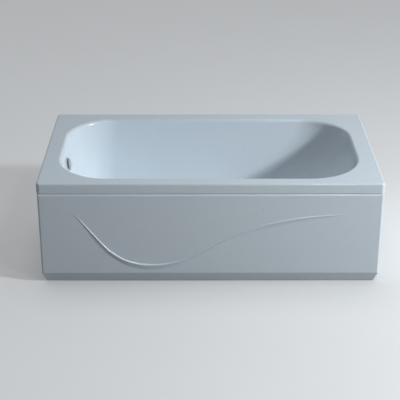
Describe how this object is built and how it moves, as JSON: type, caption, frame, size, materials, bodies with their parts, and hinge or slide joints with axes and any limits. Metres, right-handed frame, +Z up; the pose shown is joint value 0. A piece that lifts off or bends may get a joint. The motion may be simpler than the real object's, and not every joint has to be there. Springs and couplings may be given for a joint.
{
  "type": "skirted bathtub",
  "caption": "Rectangular skirted bathtub with a sloping backrest, a wave-relief front skirt, a removable end skirt, a steel cradle on screw feet and a turn-control waste.",
  "frame": {"origin": "on the floor, at the centre of the bathtub's plan", "axes": "+X along the tub from the waste end to the backrest, +Y from the front skirt to the back wall, +Z up"},
  "size_m": [1.5, 0.856, 0.48],
  "materials": {
    "acrylic": "gloss cool-white cast acrylic",
    "glass_fibre": "rough sprayed glass-fibre laminate",
    "chipboard": "raw pressed board",
    "softwood": "planed softwood",
    "cradle_steel": "galvanised steel tube",
    "zinc_steel": "bright zinc-plated steel",
    "black_plastic": "moulded black plastic",
    "white_plastic": "moulded white plastic",
    "grey_plastic": "moulded grey plastic",
    "rubber": "black rubber",
    "chrome": "polished chrome plate"
  },
  "bodies": {
    "tub": {"base_board": "chipboard", "bracket_bolts": "zinc_steel", "cable_clips": "grey_plastic", "control_cable": "rubber", "cross_member_left": "cradle_steel", "cross_member_middle": "cradle_steel", "cross_member_right": "cradle_steel", "drain_body": "white_plastic", "drain_flange": "chrome", "drain_gasket": "rubber", "end_post_back": "cradle_steel", "end_post_front": "cradle_steel", "end_skirt_sockets": "grey_plastic", "foot_nuts_lower": "zinc_steel", "foot_nuts_upper": "zinc_steel", "front_skirt_sockets": "grey_plastic", "glass_fibre_backing": "glass_fibre", "outlet_pipe": "white_plastic", "overflow_body": "white_plastic", "overflow_gasket": "rubber", "overflow_pipe": "white_plastic", "overflow_pipe_nuts": "white_plastic", "overflow_rosette": "chrome", "overflow_screws": "zinc_steel", "rail_back": "cradle_steel", "rail_front": "cradle_steel", "rim_batten_back": "softwood", "rim_batten_front": "softwood", "rim_batten_left": "softwood", "rim_batten_right": "softwood", "trap_body": "white_plastic", "trap_nut": "white_plastic", "trap_washer": "rubber", "tub_shell": "acrylic", "tube_end_caps": "black_plastic", "upright_back_left": "cradle_steel", "upright_back_middle": "cradle_steel", "upright_back_right": "cradle_steel", "upright_front_left": "cradle_steel", "upright_front_middle": "cradle_steel", "upright_front_right": "cradle_steel", "wall_brackets": "cradle_steel"},
    "front_panel": {"front_skirt": "acrylic", "front_skirt_studs": "grey_plastic"},
    "end_panel": {"end_skirt": "acrylic", "end_skirt_studs": "grey_plastic"},
    "knob": {"overflow_knob": "chrome", "knob_spindle": "zinc_steel"},
    "plug": {"plug_cap": "chrome", "plug_seal": "rubber", "plug_stem": "zinc_steel"},
    "foot_front_left": {"foot_pad_front_left": "black_plastic", "foot_stem_front_left": "zinc_steel"},
    "foot_front_right": {"foot_pad_front_right": "black_plastic", "foot_stem_front_right": "zinc_steel"},
    "foot_back_left": {"foot_pad_back_left": "black_plastic", "foot_stem_back_left": "zinc_steel"},
    "foot_back_right": {"foot_pad_back_right": "black_plastic", "foot_stem_back_right": "zinc_steel"}
  },
  "joints": [
    {"name": "front_skirt_pull", "type": "slide", "parent": "tub", "child": "front_panel", "axis": [0, -1, 0], "range_m": [0, 0.15]},
    {"name": "end_skirt_pull", "type": "slide", "parent": "tub", "child": "end_panel", "axis": [1, 0, 0], "range_m": [0, 0.15]},
    {"name": "overflow_knob_turn", "type": "hinge", "parent": "tub", "child": "knob", "pos_m": [-0.65771, 0, 0.394], "axis": [0.9899, 0, 0.1414], "range_deg": [0, 90]},
    {"name": "plug_lift", "type": "slide", "parent": "tub", "child": "plug", "axis": [0, 0, 1], "range_m": [0, 0.01]},
    {"name": "foot_front_left_screw", "type": "slide", "parent": "tub", "child": "foot_front_left", "axis": [0, 0, -1], "range_m": [0, 0.03]},
    {"name": "foot_front_right_screw", "type": "slide", "parent": "tub", "child": "foot_front_right", "axis": [0, 0, -1], "range_m": [0, 0.03]},
    {"name": "foot_back_left_screw", "type": "slide", "parent": "tub", "child": "foot_back_left", "axis": [0, 0, -1], "range_m": [0, 0.03]},
    {"name": "foot_back_right_screw", "type": "slide", "parent": "tub", "child": "foot_back_right", "axis": [0, 0, -1], "range_m": [0, 0.03]}
  ],
  "couplings": [
    {"joint": "plug_lift", "follows": "overflow_knob_turn", "m_per_rad": 0.006366}
  ]
}
